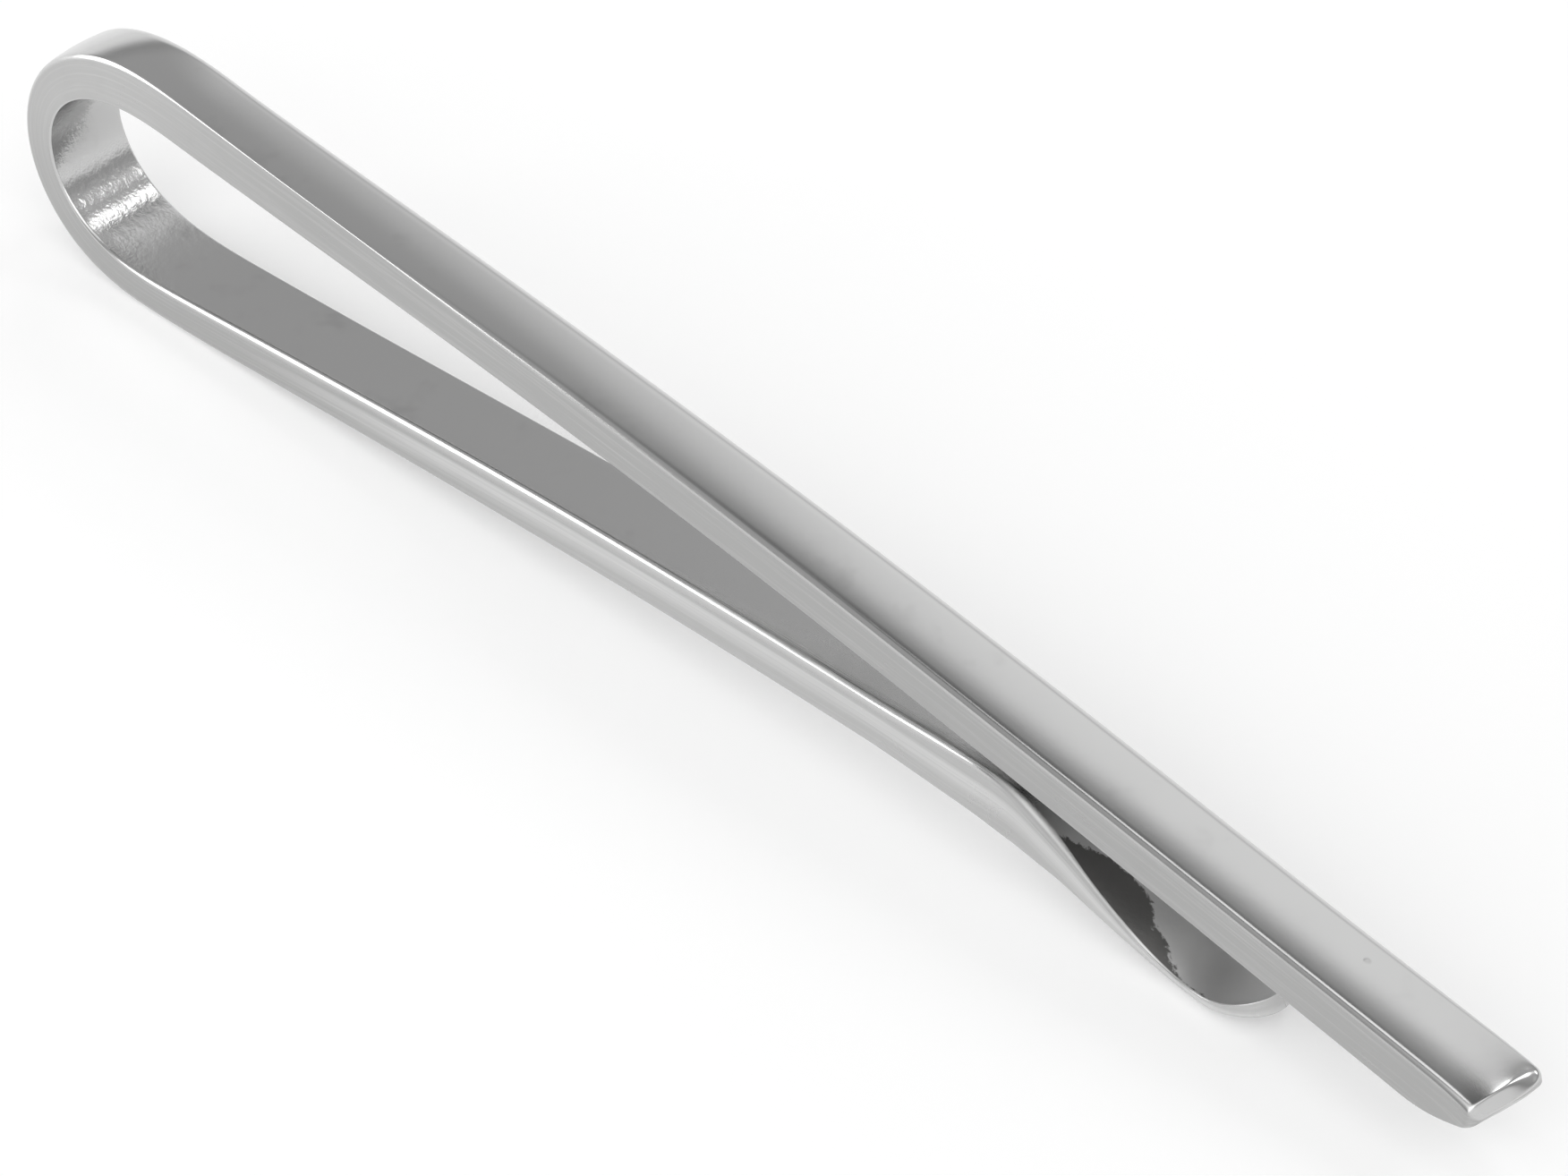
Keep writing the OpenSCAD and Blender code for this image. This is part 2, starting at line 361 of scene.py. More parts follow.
            if face is Face.OUTER:
                y = run[..., 0]
                share = y / np.where(y > 0, outer_right[:, :1], -outer_left[:, :1])
                run = pairs(y, top[:, None] + crown[:, None] * (1 - share**2))
            parts += [edges[i], run]
            marks.append(np.linspace(faces[i - 1].value, face.value, self.edge_steps + 1))
            marks.append(np.full(run.shape[1], face.value))
        loop = np.concatenate(parts, 1)
        share = np.clip((loop[..., 1] - low[:, None]) / (top - low)[:, None], 0, 1)
        loop[..., 1] -= self.bevel(gone[:, None], loop[..., 0]) * share
        turn = np.radians(along(s, self.twist))[:, None]
        y, z = loop[..., 0], loop[..., 1]
        return (
            pairs(y * np.cos(turn) + z * np.sin(turn), z * np.cos(turn) - y * np.sin(turn)),
            np.concatenate(marks),
        )

    def bevel(self, gone: np.ndarray, y: np.ndarray) -> np.ndarray:
        """How far the tip's dip and its filed bevel take the outer face down.

        The dip falls as the square of the distance to its reach. With u the distance from the end over
        the bevel's length, and w its softness, the bevel is its depth times half the sum of 1 - u and the
        root of its square plus w squared, and it fades out over the tip's fade.

        Args:
            gone: distances from the end, in mm.
            y: places across the strip.

        Returns:
            The depths in mm.
        """
        rest, soft, depth = 1 - gone / self.tip_bevel, along(y, self.tip_soft), along(y, self.tip_depth)
        dip = along(y, self.tip_dip) * np.clip(1 - gone / self.tip_dip_reach, 0, 1) ** 2
        return dip + depth * 0.5 * (rest + np.sqrt(rest**2 + soft**2)) * (1 - ease(gone, *self.tip_fade))

    def set_back(self, s: np.ndarray, y: np.ndarray) -> np.ndarray:
        """How far the tip's end stands back, in mm: its skew across the strip, gone at the skew's reach."""
        return along(y, self.tip_skew) * (1 - ease(s - self.ends[0], 0.0, self.tip_skew_reach))


@dataclass
class Shell:
    """A mesh in the making: its points in mm, the numbers that they carry, and its faces."""

    points: list[np.ndarray] = field(default_factory=list)
    carried: list[np.ndarray] = field(default_factory=list)
    faces: list[list[int]] = field(default_factory=list)
    total: int = 0

    def hold(self, places: np.ndarray, s: np.ndarray, loops: np.ndarray, marks: np.ndarray) -> np.ndarray:
        """Takes in rows of points.

        Args:
            places: the points in the part's frame.
            s: the place along the strip of each row.
            loops: the same points as rows of pairs of y and height.
            marks: the number of the face that each point of a row lies on.

        Returns:
            The points' numbers, in the same rows.
        """
        rows, count = loops.shape[:2]
        y, height = loops[..., 0].ravel(), loops[..., 1].ravel()
        self.points.append(places.reshape(-1, 3))
        self.carried.append(np.stack([np.repeat(s, count), y, np.tile(marks, rows), height]))
        numbers = self.total + np.arange(rows * count).reshape(rows, count)
        self.total += numbers.size
        return numbers

    def cover(self, faces: np.ndarray, turned: bool = False) -> None:
        """Adds faces, turned over where that is asked for."""
        self.faces += (faces[:, ::-1] if turned else faces).tolist()

    def mesh(self, name: str) -> bpy.types.Mesh:
        """Makes the mesh, smooth, with the carried numbers as attributes.

        Args:
            name: the mesh's name.

        Returns:
            The new mesh, in metres.
        """
        mesh = bpy.data.meshes.new(name)
        mesh.from_pydata((np.concatenate(self.points) * MM).tolist(), [], self.faces)
        for key, values in zip(CARRIED, np.concatenate(self.carried, 1).astype(np.float32)):
            mesh.attributes.new(key, "FLOAT", "POINT").data.foreach_set("value", np.ascontiguousarray(values))
        mesh.polygons.foreach_set("use_smooth", np.ones(len(mesh.polygons), bool))
        return mesh


@dataclass
class StripMesher:
    """Carries the section along the course and closes the ends. Its places and steps are in mm."""

    course: Course = field(default_factory=Course)
    section: Section = field(default_factory=Section)
    row_step: float = 0.2
    bends: tuple[tuple[float, float, float], ...] = ((51.0, 70.0, 0.06), (104.5, 114.0, 0.07))
    tip_run: float = 1.6
    tip_step: float = 0.04
    tip_rows: int = 14
    toe_rows: int = 40
    least_gap: float = 0.0008
    cap_rings: int = 5

    def rows(self, arm: Arm) -> np.ndarray:
        """Places of one piece's rows: even on the straight, closer in bends, by the cosine at round ends.

        Args:
            arm: the piece.

        Returns:
            The places along the strip, in mm, rising.
        """
        lo, hi = arm.value
        start, end = self.section.ends
        base = [np.arange(lo, hi, self.row_step), np.array([lo, hi])]
        base += [
            np.arange(max(lo, b0), min(hi, b1), step) for b0, b1, step in self.bends if b1 > lo and b0 < hi
        ]
        if lo == start:
            base.append(start + self.section.tip_corner * (1 - np.cos(np.linspace(0, pi / 2, self.tip_rows))))
            base.append(np.arange(start, start + self.tip_run, self.tip_step))
        if hi == end:
            base.append(end - self.section.toe_round * (1 - np.sin(np.linspace(0, pi / 2, self.toe_rows))))
        s = np.unique(np.round(np.concatenate(base), 4))
        s = s[(s >= lo) & (s <= hi)]
        return s[np.concatenate([[True], np.diff(s) > self.least_gap])]

    def lay(self, s: np.ndarray, loops: np.ndarray) -> np.ndarray:
        """Places section points in the part's frame: along the course, y across, and height outwards.

        Args:
            s: the place along the strip of each row.
            loops: rows of pairs of y and height.

        Returns:
            Rows of points in mm.
        """
        y, height = loops[..., 0], loops[..., 1]
        place, out = self.course.at(s)
        ahead = np.stack([-out[:, 1], out[:, 0]], -1)
        back = self.section.set_back(s[:, None], y)
        xz = place[:, None] + height[..., None] * out[:, None] + back[..., None] * ahead[:, None]
        return np.stack([xz[..., 0], y, xz[..., 1]], -1)

    def build(self, name: str, arm: Arm) -> bpy.types.Object:
        """Makes one piece as a closed mesh, with sharp edges only where a flat end meets the strip.

        Args:
            name: the piece's name.
            arm: which stretch of the strip it is.

        Returns:
            The new object, at the origin.
        """
        s = self.rows(arm)
        loops, marks = self.section.loops(s)
        shell = Shell()
        grid = shell.hold(self.lay(s, loops), s, loops, marks)
        shell.cover(self._skin(grid))
        self._cap(shell, s[0], loops[0], marks, grid[0], True)
        self._cap(shell, s[-1], loops[-1], marks, grid[-1], False)
        mesh = shell.mesh(name)
        self._sharpen(mesh, grid, shell.total)
        piece = bpy.data.objects.new(name, mesh)
        bpy.context.scene.collection.objects.link(piece)
        log.info("%s: %d faces, %.1f mm of strip", name, len(mesh.polygons), s[-1] - s[0])
        return piece

    def _cap(
        self, shell: Shell, s: float, loop: np.ndarray, marks: np.ndarray, rim: np.ndarray, turned: bool
    ) -> None:
        """Closes an end with rings: the section's outline, drawn by even shares towards a middle hub.

        Args:
            shell: the mesh in the making.
            s: the end's place along the strip.
            loop: the outline there, as pairs of y and height.
            marks: the number of the face that each of its points lies on.
            rim: the numbers of its points.
            turned: whether the faces are turned over, as at the strip's near end.
        """
        hub = np.array([0.0, 0.5 * (loop[:, 1].min() + loop[:, 1].max())])
        shares = np.linspace(1, 0, self.cap_rings + 1)[1:-1, None, None]
        rings = hub + shares * (loop - hub)
        place = np.full(len(rings), s)
        inner = shell.hold(self.lay(place, rings), place, rings, marks)
        lone, flank = hub[None, None], np.array([Face.FLANK.value])
        centre = shell.hold(self.lay(place[:1], lone), place[:1], lone, flank)
        numbers = np.concatenate([rim[None], inner])
        last = numbers[-1]
        shell.cover(self._skin(numbers), turned)
        shell.cover(np.stack([last, np.full_like(last, centre[0, 0]), np.roll(last, -1)], -1), turned)

    @staticmethod
    def _skin(grid: np.ndarray) -> np.ndarray:
        """Four-sided faces between neighbouring rows of a grid whose rows close on themselves."""
        following = np.roll(grid, -1, 1)
        return np.stack([grid[:-1], grid[1:], following[1:], following[:-1]], -1).reshape(-1, 4)

    @staticmethod
    def _sharpen(mesh: bpy.types.Mesh, grid: np.ndarray, total: int) -> None:
        """Marks the rims of the two flat ends as sharp.

        Args:
            mesh: the piece's mesh.
            grid: the numbers of the strip's own points, row by row.
            total: how many points the mesh has.
        """
        rim = np.zeros(total, np.int8)
        rim[grid[0]], rim[grid[-1]] = 1, 2
        ends = np.zeros(2 * len(mesh.edges), np.int32)
        mesh.edges.foreach_get("vertices", ends)
        pair = rim[ends.reshape(-1, 2)]
        sharp = (pair[:, 0] == pair[:, 1]) & (pair[:, 0] > 0)
        mesh.attributes.new("sharp_edge", "BOOLEAN", "EDGE").data.foreach_set("value", sharp)
        mesh.update()


Number = Union[float, "Wire"]


@dataclass(frozen=True)
class Wire:
    """A number on a socket of a node tree. Arithmetic on it adds Math nodes."""

    graph: "Graph"
    socket: bpy.types.NodeSocket

    def _maths(self, operation: str, first: Number, second: Number = 0.0) -> "Wire":
        """Adds one Math node.

        Args:
            operation: the Math node's operation.
            first: its first value.
            second: its second value.

        Returns:
            The result's socket.
        """
        return self.graph.add("ShaderNodeMath", {"operation": operation}, {0: first, 1: second})

    def __add__(self, other: Number) -> "Wire":
        """Sum."""
        return self._maths("ADD", self, other)

    __radd__ = __add__

    def __mul__(self, other: Number) -> "Wire":
        """Product."""
        return self._maths("MULTIPLY", self, other)

    __rmul__ = __mul__

    def __sub__(self, other: Number) -> "Wire":
        """Difference."""
        return self._maths("SUBTRACT", self, other)

    def __rsub__(self, other: Number) -> "Wire":
        """Difference, the other way round."""
        return self._maths("SUBTRACT", other, self)

    def clip(self) -> "Wire":
        """The number held between 0 and 1."""
        return self.graph.add("ShaderNodeClamp", {}, {0: self})

    def between(self, low: float, high: float) -> "Wire":
        """0 at low, 1 at high, held at both ends, and smooth between them."""
        span = {"Value": self, "From Min": low, "From Max": high}
        return self.graph.add("ShaderNodeMapRange", {"interpolation_type": "SMOOTHSTEP"}, span)


@dataclass(frozen=True)
class Graph:
    """A node tree that nodes are added to one by one."""

    tree: bpy.types.NodeTree

    @classmethod
    def cleared(cls, owner: Union[bpy.types.Material, bpy.types.World]) -> "Graph":
        """The node tree of a material or a world, emptied."""
        owner.use_nodes = True
        owner.node_tree.nodes.clear()
        return cls(owner.node_tree)

    def add(
        self,
        kind: str,
        settings: dict[str, Any],
        inputs: dict[Union[int, str], Any],
        output: Union[int, str] = 0,
    ) -> Wire:
        """Adds a node, sets it, and then fills its sockets.

        Args:
            kind: the node's type.
            settings: its properties, set before the sockets are touched.
            inputs: its sockets by name or number, each with a value or a wire.
            output: the socket to hand back.

        Returns:
            The chosen output as a wire, or the first input of a node that has no output.
        """
        node = self.tree.nodes.new(kind)
        for key, value in settings.items():
            setattr(node, key, value)
        for key, value in inputs.items():
            if isinstance(value, Wire):
                self.tree.links.new(value.socket, node.inputs[key])
            else:
                node.inputs[key].default_value = value
        return Wire(self, node.outputs[output]) if len(node.outputs) else Wire(self, node.inputs[0])

    def attribute(self, name: str) -> Wire:
        """A number that the mesh carries at each point."""
        return self.add("ShaderNodeAttribute", {"attribute_name": name}, {}, "Fac")

    def vector(self, x: Number, y: Number, z: Number) -> Wire:
        """A vector from three numbers."""
        return self.add("ShaderNodeCombineXYZ", {}, {0: x, 1: y, 2: z})

    def noise(self, where: Wire, scale: float, detail: float, rough: float) -> Wire:
        """Smooth noise about 0.5."""
        sockets = {"Vector": where, "Scale": scale, "Detail": detail, "Roughness": rough}
        return self.add("ShaderNodeTexNoise", {}, sockets)

    def tint(self, mask: Number, first: Union[Colour, Wire], second: Union[Colour, Wire]) -> Wire:
        """The first colour where the mask is 0 and the second where it is 1."""
        return self.add("ShaderNodeMix", {"data_type": "RGBA"}, {0: mask, 6: first, 7: second}, 2)


@dataclass(frozen=True)
class Stretch:
    """Where something shows: it comes in over one span and goes out over another."""

    comes: Span
    goes: Span

    def on(self, place: Wire) -> Wire:
        """1 inside the stretch and 0 outside it."""
        return place.between(*self.comes) * (1 - place.between(*self.goes))


@dataclass(frozen=True)
class Pattern:
    """A noise: its scale, detail and roughness, and how closely it runs along each of its three numbers."""

    scale: float
    detail: float = 2.0
    rough: float = 0.5
    close: tuple[float, float, float] = (1.0, 1.0, 1.0)

    def at(self, where: Wire) -> Wire:
        """The pattern at a place in the piece's own space."""
        return where.graph.noise(where, self.scale, self.detail, self.rough)

    def over(self, first: Wire, second: Wire, third: Number = 0.0) -> Wire:
        """The pattern over two or three numbers."""
        a, b, c = self.close
        return self.at(first.graph.vector(first * a, second * b, third * c))


@dataclass(frozen=True)
class Spot:
    """What the finish reads at a point: its place on the strip, and masks and patterns used more often."""

    where: Wire
    s: Wire
    y: Wire
    face: Wire
    rise: Wire
    flank: Wire
    inside: Wire
    coarse: Wire
    facet: Wire
    cloud: Wire
    grain: Wire
    pit: Wire


@dataclass(frozen=True)
class PolishedSilver:
    """White metal polished along the strip, with brushed flanks, faint orange peel, fine scratches and pits.

    The bow's and the crest's inner faces are coarser. The leg's near inner edge is rubbed. The flanks are
    darkened as painted shade, lifted again over parts of the bow, leg and toe, and the leg's flank has a
    lighter band of painted reflection. The toe has a filed facet and a ragged painted dark reflection.
    Places along and across the strip and heights are in mm. A span that ends in _edge or _round goes by
    the number of the face.
    """

    name: str = "polished_silver"
    light: Colour = (0.58, 0.58, 0.578, 1.0)
    dull: Colour = (0.45, 0.45, 0.447, 1.0)
    # Painted shade: the flanks' darker colour, standing in for the darker floor that they reflect.
    side: Colour = (0.425, 0.425, 0.422, 1.0)
    # Painted sheen: a lighter band of painted reflection on the leg's flank, with streaks of random tone.
    painted_sheen_and_streaks: Colour = (0.72, 0.72, 0.717, 1.0)
    # Painted dark reflection: the toe's inner face darkened where it mirrors the bar's shaded underside.
    painted_dark_reflection: Colour = (0.15, 0.148, 0.145, 1.0)

    cloud: Pattern = Pattern(420.0, 3.0, 0.6)
    swell: Pattern = Pattern(900.0, 1.0)
    skin: Pattern = Pattern(3600.0)
    fleck: Pattern = Pattern(8000.0, 2.0, 0.6)
    pitted: Pattern = Pattern(260.0, 0.0)
    pit_cells: float = 620.0
    grain: Pattern = Pattern(1.6, 5.0, 0.62, (0.35, 16.0, 9.0))
    scratch: Pattern = Pattern(1.0, 3.0, 0.7, (1.2, 26.0, 5.0))
    rub: Pattern = Pattern(1.0, 3.0, 0.7, (0.3, 34.0, 1.0))
    streak: Pattern = Pattern(1.0, 5.0, 0.68, (0.16, 12.0, 2.0))
    ragged: Pattern = Pattern(2.6, 6.0, 0.75, (1.0, 1.6, 1.0))

    flank_edge: Span = (0.55, 1.0)
    inner_edge: Span = (0.0, 0.6)
    pit_size: Span = (0.02, 0.09)
    pit_chance: Span = (0.66, 0.7)
    bow: Stretch = Stretch((57.0, 61.0), (67.0, 70.5))
    crest: Stretch = Stretch((103.0, 107.0), (110.5, 113.0))
    facet_along: Stretch = Stretch((105.2, 106.2), (110.8, 112.0))
    facet_across: Span = (-1.0, -0.6)
    facet_round: Stretch = Stretch((0.02, 0.12), (0.86, 0.98))

    face_rough: float = 0.17
    flank_rough: float = 0.3
    cloud_rough: float = 0.1
    grain_rough: float = 0.12
    coarse_rough: float = 0.04
    facet_rough: float = 0.22
    toe_rough: float = 0.24
    toe_along: Span = (106.0, 109.0)
    rubbed_rough: float = 0.34
    rubbed_along: Stretch = Stretch((88.0, 97.0), (105.0, 107.0))
    rubbed_across: Span = (-1.15, -0.8)
    rubbed_round: Span = (0.3, 0.6)
    rub_span: Span = (0.3, 0.7)

    cloud_span: Span = (0.58, 0.78)
    cloud_dull: float = 0.5
    pit_dull: float = 0.5
    facet_dull: float = 0.8
    # Stretches where the flanks' painted shade is lifted again, each with the share that it lifts.
    bow_flank: Stretch = Stretch((46.0, 56.0), (59.0, 63.0))
    bow_flank_shade_lift: float = 0.34
    leg_flank: Span = (74.0, 92.0)
    leg_flank_shade_lift: float = 0.55
    toe_flank: Span = (114.2, 115.2)
    toe_flank_shade_lift: float = 0.4
    # Where the painted reflection band lies on the leg's flank, along the strip and by height.
    band_along: Span = (70.0, 82.0)
    band_height: Stretch = Stretch((0.36, 0.56), (0.65, 1.4))
    band_painted_sheen: float = 0.7
    streak_gleam: float = 1.3
    # The ragged border of the toe's painted dark reflection, across the strip and in steps along it.
    dark_reflection_start: float = -1.4
    dark_reflection_steps: tuple[tuple[Span, float], ...] = (
        ((107.2, 110.1), 1.16),
        ((110.9, 111.6), -0.45),
        ((111.6, 113.4), -0.65),
    )
    dark_reflection_ragged: float = 0.9
    dark_reflection_soft: Span = (-0.05, 0.05)
    dark_reflection_edge: Span = (0.0, 0.1)
    dark_reflection_along: Span = (106.8, 107.2)

    swell_relief: tuple[float, float] = (0.6, 5.0)
    peel_relief: tuple[float, float] = (0.35, 4.0)
    fleck_relief: float = 3.0
    grain_relief: float = 0.45
    scratch_relief: float = 0.1
    pit_relief: float = 3.0
    relief_strength: float = 0.5
    relief_distance: float = 0.0000045

    def make(self) -> bpy.types.Material:
        """Builds the material.

        Returns:
            The finished material.
        """
        material = bpy.data.materials.new(self.name)
        g = Graph.cleared(material)
        spot = self.read(g)
        bump = {
            "Strength": self.relief_strength,
            "Distance": self.relief_distance,
            "Height": self.relief(spot),
        }
        look = {
            "Base Color": self.colour(g, spot),
            "Metallic": 1.0,
            "Roughness": self.roughness(spot),
            "Normal": g.add("ShaderNodeBump", {}, bump),
        }
        g.add("ShaderNodeOutputMaterial", {}, {"Surface": g.add("ShaderNodeBsdfPrincipled", {}, look)})
        return material

    def read(self, g: Graph) -> Spot:
        """Reads the strip's numbers and makes the masks and patterns that are used more than once.

        The flank is 1 minus the distance of the face's number from the flank's. Pits are the middles of
        cells, where a coarse noise picks them.

        Args:
            g: the material's node tree.

        Returns:
            What the finish reads at a point.
        """
        where = g.add("ShaderNodeTexCoord", {}, {}, "Object")
        s, y, face, rise = (g.attribute(name) for name in CARRIED)
        off_flank = g.add("ShaderNodeMath", {"operation": "ABSOLUTE"}, {0: face - Face.FLANK.value})
        inside = 1 - face.between(*self.inner_edge)
        cells = {"Vector": where, "Scale": self.pit_cells}
        cell = g.add("ShaderNodeTexVoronoi", {"feature": "F1"}, cells, "Distance")
        facet = self.facet_round.on(face) * (1 - y.between(*self.facet_across)) * self.facet_along.on(s)
        return Spot(
            where=where,
            s=s,
            y=y,
            face=face,
            rise=rise,
            flank=(1 - off_flank).between(*self.flank_edge),
            inside=inside,
            coarse=(inside * (self.bow.on(s) + self.crest.on(s))).clip(),
            facet=facet,
            cloud=self.cloud.at(where),
            grain=self.grain.over(s, y, face),
            pit=(1 - cell.between(*self.pit_size)) * self.pitted.at(where).between(*self.pit_chance),
        )

    def roughness(self, spot: Spot) -> Wire:
        """The roughness: the face's or the flank's, clouded, with more on coarse, filed and rubbed places.

        Args:
            spot: what the finish reads at a point.

        Returns:
            The roughness.
        """
        rubbed = self.rubbed_along.on(spot.s) * (1 - spot.y.between(*self.rubbed_across))
        rubbed = rubbed * (1 - spot.face.between(*self.rubbed_round))
        rubbed = rubbed * self.rub.over(spot.s, spot.y).between(*self.rub_span)
        plain = self.face_rough + (self.flank_rough - self.face_rough) * spot.flank
        uneven = self.cloud_rough * (spot.cloud - 0.5) + self.grain_rough * (spot.grain - 0.5) * spot.flank
        toe = spot.inside * spot.s.between(*self.toe_along)
        worn = self.coarse_rough * spot.coarse + self.facet_rough * spot.facet + self.toe_rough * toe
        return plain + uneven + worn + self.rubbed_rough * rubbed

    def colour(self, g: Graph, spot: Spot) -> Wire:
        """The colour: light metal, duller in clouds, pits and the facet, with painted shade on the flanks,
        a painted reflection band on the leg's flank and a painted dark reflection on the toe.

        The painted dark reflection ends across the strip at its start plus its steps along the strip,
        frayed by a ragged noise.

        Args:
            g: the material's node tree.
            spot: what the finish reads at a point.

        Returns:
            The colour.
        """
        s, y, face, rise = spot.s, spot.y, spot.face, spot.rise
        dulled = spot.cloud.between(*self.cloud_span) * self.cloud_dull + spot.pit * self.pit_dull
        colour = g.tint((dulled + spot.facet * self.facet_dull).clip(), self.light, self.dull)
        # Painted shade: the flanks are tinted to the side colour, lifted over the bow, leg and toe stretches.
        shade_lifted = self.bow_flank.on(s) * self.bow_flank_shade_lift + s.between(*self.leg_flank) * self.leg_flank_shade_lift
        shade_lifted = shade_lifted + s.between(*self.toe_flank) * self.toe_flank_shade_lift
        colour = g.tint(spot.flank * (1 - shade_lifted), colour, self.side)
        # Painted reflection: a lighter band on the leg's flank by height, with streaks of random tone on the
        # flanks.
        band = self.band_height.on(rise) * s.between(*self.band_along)
        painted_sheen_and_streaks = band * self.band_painted_sheen + (self.streak.over(s, rise, y) - 0.5) * self.streak_gleam
        colour = g.tint((spot.flank * painted_sheen_and_streaks).clip(), colour, self.painted_sheen_and_streaks)
        # Painted dark reflection: the toe's inner face is darkened inside a ragged border.
        border = (self.ragged.over(s, y) - 0.5) * self.dark_reflection_ragged + self.dark_reflection_start - y
        for span, step in self.dark_reflection_steps:
            border = border + s.between(*span) * step
        dark_reflected = border.between(*self.dark_reflection_soft) * (1 - face.between(*self.dark_reflection_edge))
        return g.tint(dark_reflected * s.between(*self.dark_reflection_along), colour, self.painted_dark_reflection)

    def relief(self, spot: Spot) -> Wire:
        """The skin's height: swell and peel, stronger where it is coarse, flecks, grain, scratches, pits.

        Args:
            spot: what the finish reads at a point.

        Returns:
            The height, for the bump.
        """
        swell = self.swell.at(spot.where) * (self.swell_relief[0] + self.swell_relief[1] * spot.coarse)
        peel = self.skin.at(spot.where) * (self.peel_relief[0] + self.peel_relief[1] * spot.coarse)
        fleck = self.fleck.at(spot.where) * spot.coarse * self.fleck_relief
        lines = spot.grain * spot.flank * self.grain_relief
        lines = lines + self.scratch.over(spot.s, spot.y, spot.face) * self.scratch_relief
        return swell + peel + fleck + lines - spot.pit * self.pit_relief


@dataclass
class TieClip:
    """The clip: a front bar, a bow and a spring leg with its crest and toe, all of one strip.

    Two points of the part's frame, in metres, mark the bow from the leg up to the hinge.
    """

    mesher: StripMesher = field(default_factory=StripMesher)
    finish: PolishedSilver = field(default_factory=PolishedSilver)
    bend_from: tuple[float, float, float] = (-0.0283, 0.0, 0.002)
    bend_to: tuple[float, float, float] = (-0.0283, 0.0, 0.0078)

    def build(self) -> list[bpy.types.Object]:
        """Makes the three pieces and dresses them, ties the bar and the leg to their CAD bodies, bakes the
        bow in place and hides the CAD nodes.

        Returns:
            The pieces, from the tip to the toe.
        """
        metal = self.finish.make()
        bar = self.mesher.build("front_bar_arm", Arm.BAR)
        bow = self.mesher.build("spring_bow", Arm.BOW)
        leg = self.mesher.build("spring_leg_arm", Arm.LEG)
        for piece in (bar, bow, leg):
            piece.data.materials.append(metal)
        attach(bar, "bar")
        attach(leg, "leg")
        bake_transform(bow)
        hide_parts("bar_tip", "front_bar", "bar_root")
        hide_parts("bow_top", "bow_back", "bow_bottom")
        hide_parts("spring_leg", "grip_crest", "toe")
        return [bar, bow, leg]


def toward(azimuth: float, elevation: float) -> Vector:
    """The direction at an azimuth from +X and an elevation, both in degrees."""
    a, e = radians(azimuth), radians(elevation)
    return Vector((cos(e) * cos(a), cos(e) * sin(a), sin(e)))


@dataclass(frozen=True)
class Lamp:
    """A soft lamp that faces the clip. Its azimuth and elevation are in degrees, its sizes in metres."""

    name: str
    at: tuple[float, float]
    distance: float
    width: float
    height: float
    power: float

    def build(self) -> None:
        """Hangs the lamp and turns it to the clip."""
        data = bpy.data.lights.new(self.name, "AREA")
        data.shape, data.size, data.size_y, data.energy = "ELLIPSE", self.width, self.height, self.power
        lamp = bpy.data.objects.new(self.name, data)
        way = toward(*self.at)
        lamp.matrix_world = (
            Matrix.Translation(way * self.distance) @ way.to_track_quat("Z", "Y").to_matrix().to_4x4()
        )
        bpy.context.scene.collection.objects.link(lamp)


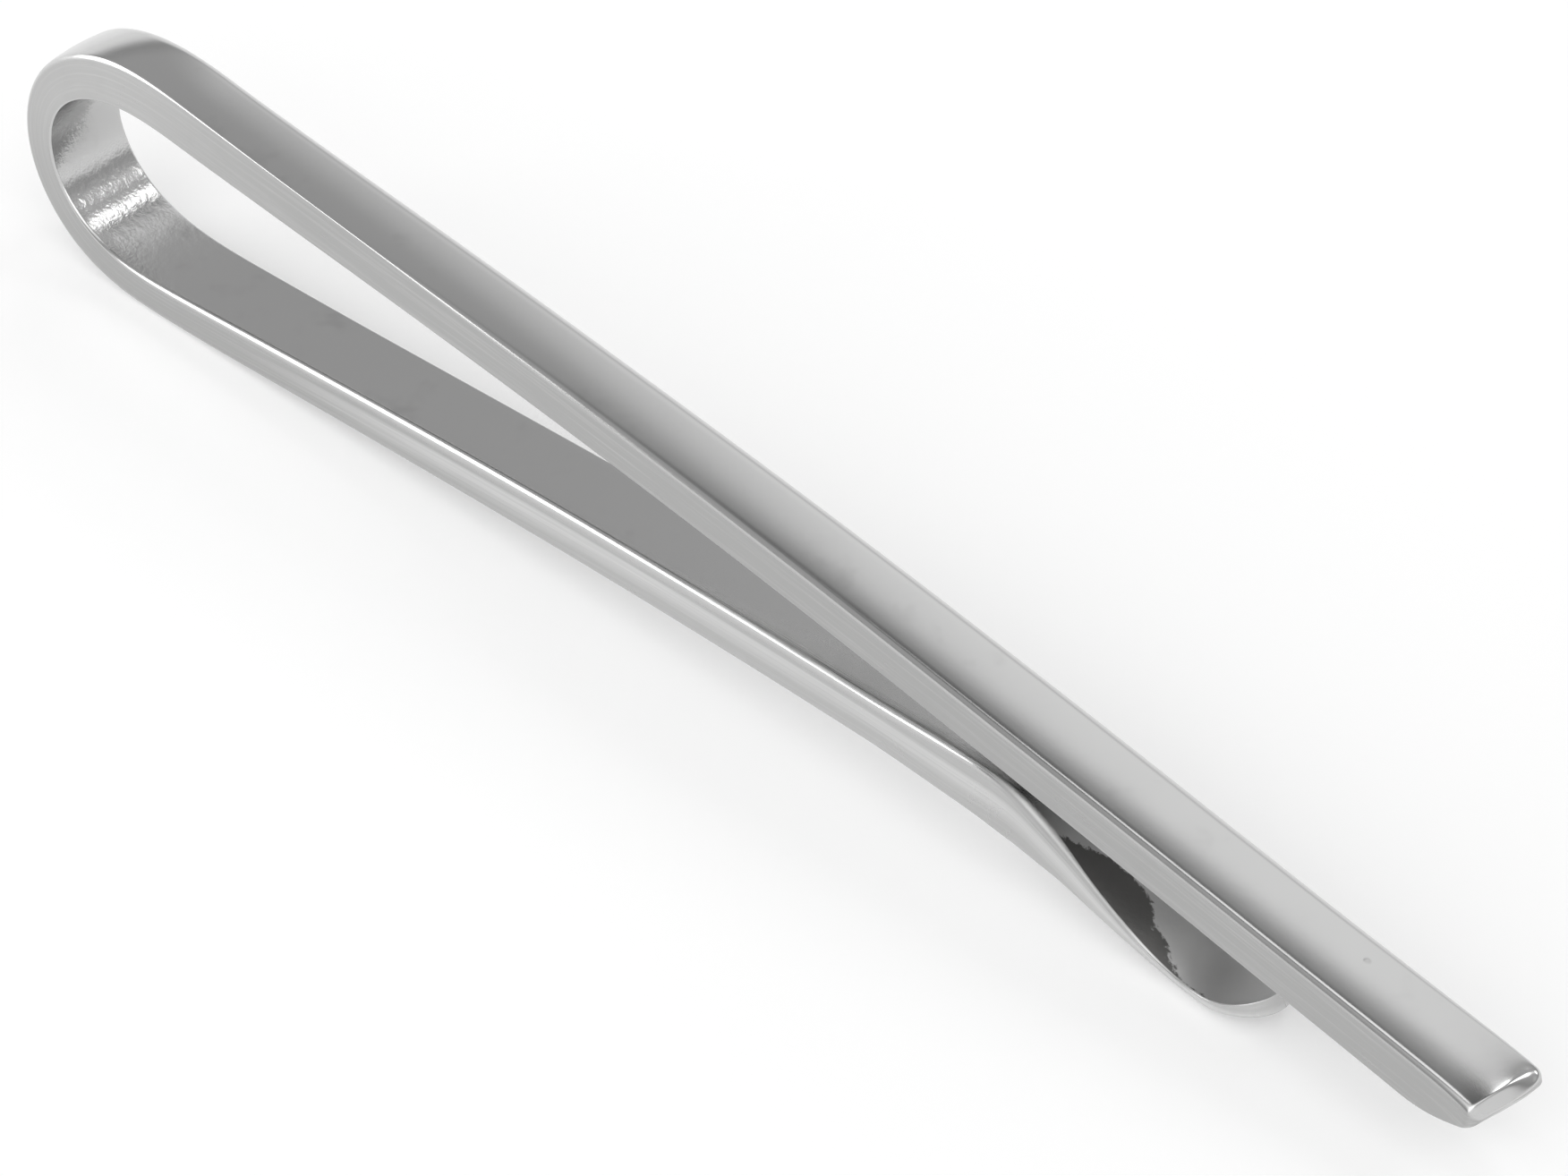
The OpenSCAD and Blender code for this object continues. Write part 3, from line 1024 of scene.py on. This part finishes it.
@dataclass
class Studio:
    """A white floor, a soft dome with a glow behind the clip, a fill beside it and a dim top, and four lamps.

    The glow's sides are azimuths in degrees. The spans of the top, the low part and the horizon are
    heights on the dome, from 0 at the horizon to 1 at the zenith. The fill's span is the cosine of the
    angle from its middle.
    """

    floor_size: float = 6.0
    floor_albedo: float = 0.8
    floor_white: float = 1.02
    dome: float = 0.47
    glow: float = 0.58
    glow_near: Span = (97.0, 105.0)
    glow_far: Span = (116.0, 148.0)
    dim_top: float = 0.7
    top_span: Span = (0.825, 0.95)
    dim_low: float = 0.35
    low_span: Span = (0.25, 0.47)
    fill: float = 1.5
    fill_at: tuple[float, float] = (322.0, 40.0)
    fill_span: Span = (0.6, 0.97)
    horizon: Span = (0.12, 0.3)
    lamps: tuple[Lamp, ...] = (
        Lamp("key_lamp", (76.0, 59.6), distance=0.6, width=0.13, height=0.13, power=0.17),
        Lamp("end_lamp", (50.0, 38.0), distance=0.6, width=0.15, height=0.15, power=0.167),
        Lamp("front_lamp", (208.0, 18.0), distance=0.45, width=0.42, height=0.24, power=0.72),
        Lamp("top_lamp", (220.0, 82.0), distance=0.6, width=0.22, height=0.22, power=0.155),
    )

    @staticmethod
    def _seen(g: Graph, low: Number = 1.0) -> Wire:
        """1 for rays that show the backdrop: the camera's and, where low is 1, gloss and glass rays."""
        rays = ("Is Camera Ray", "Is Glossy Ray", "Is Transmission Ray")
        camera, glossy, glass = (g.add("ShaderNodeLightPath", {}, {}, ray) for ray in rays)
        return (camera + (glossy + glass) * low).clip()

    def world(self) -> None:
        """Lights the room.

        The dome's light is a base plus a glow between two azimuths, with a sharp near side and a slow far
        side. It dims towards the zenith and low down, and turns white at the horizon. The fill is added
        to it.
        """
        world = bpy.data.worlds.new("studio_dome")
        bpy.context.scene.world = world
        g = Graph.cleared(world)
        where = g.add("ShaderNodeTexCoord", {}, {}, "Generated")
        east, north, rise = (g.add("ShaderNodeSeparateXYZ", {}, {0: where}, axis) for axis in "XYZ")
        azimuth = g.add("ShaderNodeMath", {"operation": "ARCTAN2"}, {0: north, 1: east})
        near, far = (azimuth.between(radians(a), radians(b)) for a, b in (self.glow_near, self.glow_far))
        middle = {0: where, 1: tuple(toward(*self.fill_at))}
        beside = g.add("ShaderNodeVectorMath", {"operation": "DOT_PRODUCT"}, middle, "Value")
        dome = self.dome + self.glow * near * (1 - far)
        dome = dome * (1 - self.dim_top * rise.between(*self.top_span))
        dome = dome * (1 - self.dim_low * (1 - rise.between(*self.low_span)))
        dome = dome + self.fill * beside.between(*self.fill_span)
        white = self._seen(g, 1 - rise.between(*self.horizon))
        light = {"Color": WHITE, "Strength": dome * (1 - white) + white}
        g.add("ShaderNodeOutputWorld", {}, {"Surface": g.add("ShaderNodeBackground", {}, light)})

    def floor(self) -> None:
        """Lays the floor: a matt white plate that also shows white to the rays that see the backdrop."""
        h = self.floor_size / 2
        mesh = bpy.data.meshes.new("studio_floor")
        mesh.from_pydata([(-h, -h, 0.0), (h, -h, 0.0), (h, h, 0.0), (-h, h, 0.0)], [], [(0, 1, 2, 3)])
        plate = bpy.data.objects.new("studio_floor", mesh)
        bpy.context.scene.collection.objects.link(plate)
        material = bpy.data.materials.new("studio_floor")
        g = Graph.cleared(material)
        paint = self.floor_albedo
        matt = g.add("ShaderNodeBsdfDiffuse", {}, {"Color": (paint, paint, paint, 1.0)})
        shine = {"Color": WHITE, "Strength": self._seen(g) * (self.floor_white - paint)}
        both = g.add("ShaderNodeAddShader", {}, {0: matt, 1: g.add("ShaderNodeEmission", {}, shine)})
        g.add("ShaderNodeOutputMaterial", {}, {"Surface": both})
        mesh.materials.append(material)

    def build(self) -> None:
        """Sets the view transform and builds the room."""
        bpy.context.scene.view_settings.view_transform = "Standard"
        self.world()
        self.floor()
        for lamp in self.lamps:
            lamp.build()
        log.info("studio: floor, dome and %d lamps", len(self.lamps))


@dataclass
class Viewpoint:
    """The camera of the photograph, resected from the clip's edges. Angles in degrees and lengths in mm."""

    azimuth: float = 49.6847
    elevation: float = 40.9659
    roll: float = -4.7403
    distance: float = 154.8079
    aside: float = -2.3959
    above: float = 1.7616
    focal_pixels: float = 6000.0
    image_width: float = 1752.0
    sensor_width: float = 36.0
    clip_near: float = 5.0
    clip_far: float = 50000.0
    target: tuple[float, float, float] = (0.0, 0.0, 4.5)

    def build(self) -> None:
        """Places the camera: it looks along the turned axes and stands off from the target."""
        az, el, ro = radians(self.azimuth), radians(self.elevation), radians(self.roll)
        back = Vector((sin(az) * cos(el), -cos(az) * cos(el), sin(el)))
        level = Vector((cos(az), sin(az), 0.0))
        rise = back.cross(level)
        right, up = level * cos(ro) + rise * sin(ro), rise * cos(ro) - level * sin(ro)
        place = Vector(self.target) + back * self.distance - right * self.aside - up * self.above
        data = bpy.data.cameras.new("photo_camera")
        data.sensor_width = self.sensor_width
        data.lens = self.focal_pixels * data.sensor_width / self.image_width
        data.clip_start, data.clip_end = self.clip_near * MM, self.clip_far * MM
        camera = bpy.data.objects.new("photo_camera", data)
        turn = Matrix((right, up, back)).transposed().to_4x4()
        camera.matrix_world = Matrix.Translation(place * MM) @ turn
        bpy.context.scene.collection.objects.link(camera)
        bpy.context.scene.camera = camera
        log.info("camera: %.1f mm lens at %.0f mm", data.lens, self.distance)


def main() -> None:
    """Builds the clip, the studio and the camera."""
    logging.basicConfig(level=logging.INFO, format="%(name)s: %(message)s")
    for piece in TieClip().build():
        log.info("%s is dressed in %s", piece.name, piece.data.materials[0].name)
    Studio().build()
    Viewpoint().build()
    bpy.context.view_layer.update()


if __name__ == "__main__":
    main()
